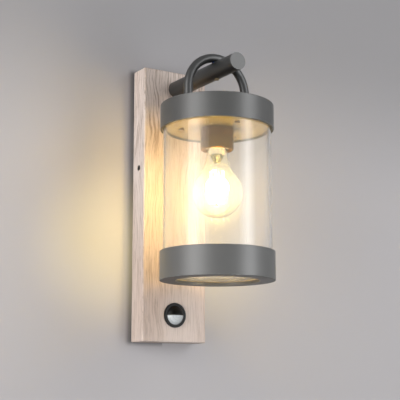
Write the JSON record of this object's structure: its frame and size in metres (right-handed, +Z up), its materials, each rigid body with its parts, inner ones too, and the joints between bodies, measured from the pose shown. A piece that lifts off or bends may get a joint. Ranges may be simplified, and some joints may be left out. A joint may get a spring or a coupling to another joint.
{
  "type": "outdoor wall lantern",
  "caption": "Wall lantern: wood-effect backplate with motion sensor, straight arm, tubular loop, and a cap and ring that hold a clear cylinder round a filament bulb.",
  "frame": {"origin": "on the wall plane, at the centre of the two wall screw slots and at mid height of the backplate", "axes": "+X to the right seen from the front, +Y into the wall, +Z up"},
  "size_m": [0.1334, 0.1912, 0.34],
  "materials": {
    "wood_effect": "wood-grain film in whitewashed oak, satin",
    "foam": "black foam and rubber",
    "zinc_steel": "zinc plated",
    "dark_screw": "blackened steel",
    "terminal_plastic": "white polyamide",
    "brass": "bright nickel-free brass",
    "sensor_black": "gloss black",
    "black_plastic": "fine matt black",
    "milky_lens": "milky white lens",
    "circuit_board": "green solder resist",
    "orange_plastic": "moulded",
    "white_plastic": "moulded",
    "anthracite_tube": "satin anthracite powder coat",
    "anthracite_cast": "satin anthracite powder coat",
    "silicone": "translucent silicone",
    "cream_plate": "cream white powder coat",
    "holder_plastic": "glazed cream",
    "sleeve_grey": "satin grey",
    "bulb_metal": "bright",
    "bulb_insulator": "black glass",
    "bulb_glass": "clear",
    "stem_glass": "clear",
    "filament_light": "lit phosphor coat",
    "support_wire": "nickel wire",
    "clear_glass": "clear, polished",
    "lead_brown": "silicone insulation",
    "lead_blue": "silicone insulation",
    "lead_red": "silicone insulation"
  },
  "bodies": {
    "root": {"housing": "wood_effect", "wall_gasket": "foam", "wall_bracket": "zinc_steel", "side_screws": "dark_screw", "cable_grommet": "foam", "terminal_block": "terminal_plastic", "terminal_inserts": "brass", "terminal_screws": "zinc_steel", "earth_screw": "zinc_steel", "sensor_bezel": "sensor_black", "sensor_nut": "black_plastic", "sensor_retainer": "black_plastic", "sensor_module": "black_plastic", "module_screws": "zinc_steel", "arm_tube": "anthracite_tube", "arm_end_disc": "anthracite_tube", "arm_nipple": "zinc_steel", "arm_washer": "zinc_steel", "arm_locknut": "zinc_steel", "loop_lock_screw": "zinc_steel", "hanging_loop": "anthracite_tube", "loop_nuts": "zinc_steel", "cap_shell": "anthracite_cast", "cap_seal": "silicone", "ceiling_plate": "cream_plate", "ceiling_screws": "zinc_steel", "shade_clips": "zinc_steel", "holder_body": "holder_plastic", "holder_sleeve": "sleeve_grey", "holder_ring_nut": "holder_plastic", "screw_shell": "brass", "centre_contact": "brass", "lead_live": "lead_brown", "lead_neutral": "lead_blue", "module_leads": "lead_red"},
    "bulb_base": {"bulb_cap": "bulb_metal", "bulb_insulator": "bulb_insulator", "bulb_eyelet": "bulb_metal"},
    "bulb_globe": {"bulb_glass": "bulb_glass", "bulb_stem": "stem_glass", "bulb_filaments": "filament_light", "bulb_supports": "support_wire"},
    "shade": {"clear_tube": "clear_glass", "bottom_ring": "anthracite_cast", "bottom_disc": "clear_glass", "disc_gasket": "foam", "bond_bead": "silicone"},
    "sensor_head": {"sensor_eye": "sensor_black", "sensor_lens": "milky_lens", "pir_board": "circuit_board"},
    "time_setting": {"time_dial": "orange_plastic"},
    "light_setting": {"light_dial": "white_plastic"}
  },
  "joints": [
    {"name": "shade_drop", "type": "slide", "parent": "root", "child": "shade", "axis": [0, 0, -1], "range_m": [0, 0.127]},
    {"name": "bulb_travel", "type": "slide", "parent": "root", "child": "bulb_base", "axis": [0, 0, -1], "range_m": [0, 0.01815]},
    {"name": "bulb_turn", "type": "hinge", "parent": "bulb_base", "child": "bulb_globe", "pos_m": [0, -0.1245, 0], "axis": [0, 0, -1], "range_deg": [0, 1800]},
    {"name": "sensor_tilt", "type": "hinge", "parent": "root", "child": "sensor_head", "pos_m": [0, -0.0254, -0.1374], "axis": [1, 0, 0], "range_deg": [-15, 15]},
    {"name": "time_dial_turn", "type": "hinge", "parent": "root", "child": "time_setting", "pos_m": [-0.013, -0.0125, -0.085], "axis": [0, 1, 0], "range_deg": [-135, 135]},
    {"name": "light_dial_turn", "type": "hinge", "parent": "root", "child": "light_setting", "pos_m": [0.013, -0.0125, -0.085], "axis": [0, 1, 0], "range_deg": [-135, 135]}
  ],
  "couplings": [
    {"joint": "bulb_turn", "follows": "bulb_travel", "rad_per_m": 1731.4}
  ]
}
